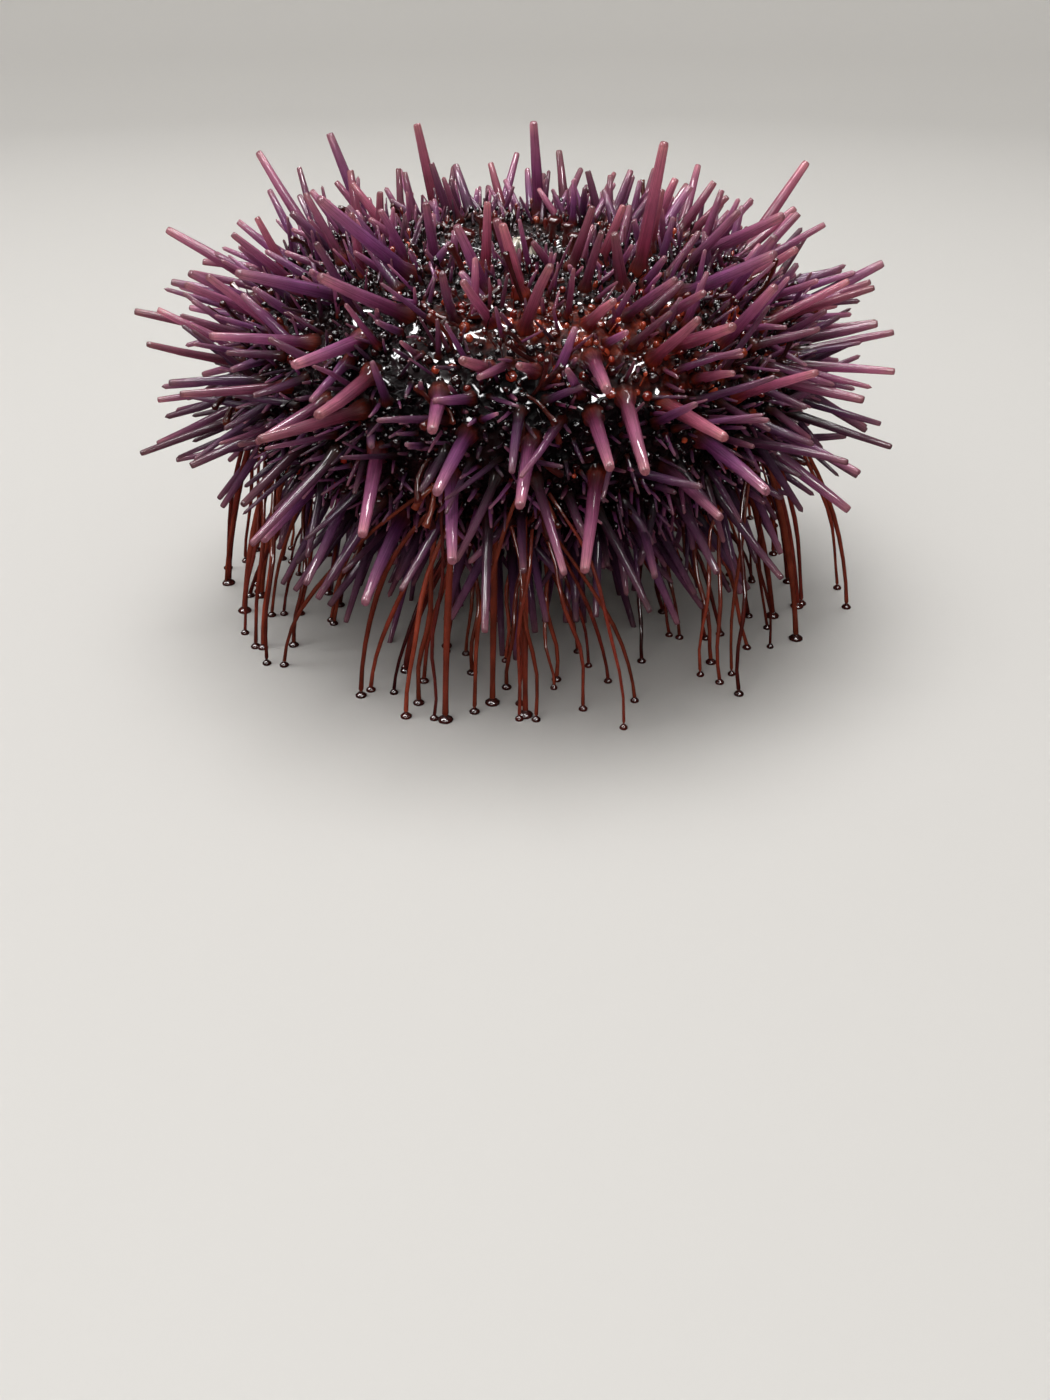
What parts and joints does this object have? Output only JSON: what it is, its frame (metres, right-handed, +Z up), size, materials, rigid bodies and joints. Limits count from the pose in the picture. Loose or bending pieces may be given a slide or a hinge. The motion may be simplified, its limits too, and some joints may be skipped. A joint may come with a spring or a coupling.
{
  "type": "purple sea urchin",
  "caption": "Life-size purple sea urchin lying mouth side up on its lower spines, with a spiny shell of ten sectors, a mouth field with teeth and an apex plate.",
  "frame": {"origin": "on the floor under the middle of the animal's outline, where the lowest spine tips and sucker discs rest", "axes": "+Z up through the mouth, -Y towards the side that the picture shows, +X to the picture's right"},
  "size_m": [0.0732, 0.0738, 0.0453],
  "materials": {
    "body": "wet near-black maroon skin over the shell",
    "spine": "damp mauve purple calcite spines",
    "tube_foot": "translucent red brown flesh",
    "mouth_skin": "wet leathery membrane",
    "tooth": "polished white calcite",
    "plate": "porous calcite sieve plate"
  },
  "bodies": {
    "root": {"ambulacrum_1": "body", "interambulacrum_1": "body", "ambulacrum_2": "body", "interambulacrum_2": "body", "ambulacrum_3": "body", "interambulacrum_3": "body", "ambulacrum_4": "body", "interambulacrum_4": "body", "ambulacrum_5": "body", "interambulacrum_5": "body", "peristome": "mouth_skin", "tooth_1": "tooth", "tooth_2": "tooth", "tooth_3": "tooth", "tooth_4": "tooth", "tooth_5": "tooth", "apical_disc": "body", "madreporite": "plate"}
  },
  "joints": []
}
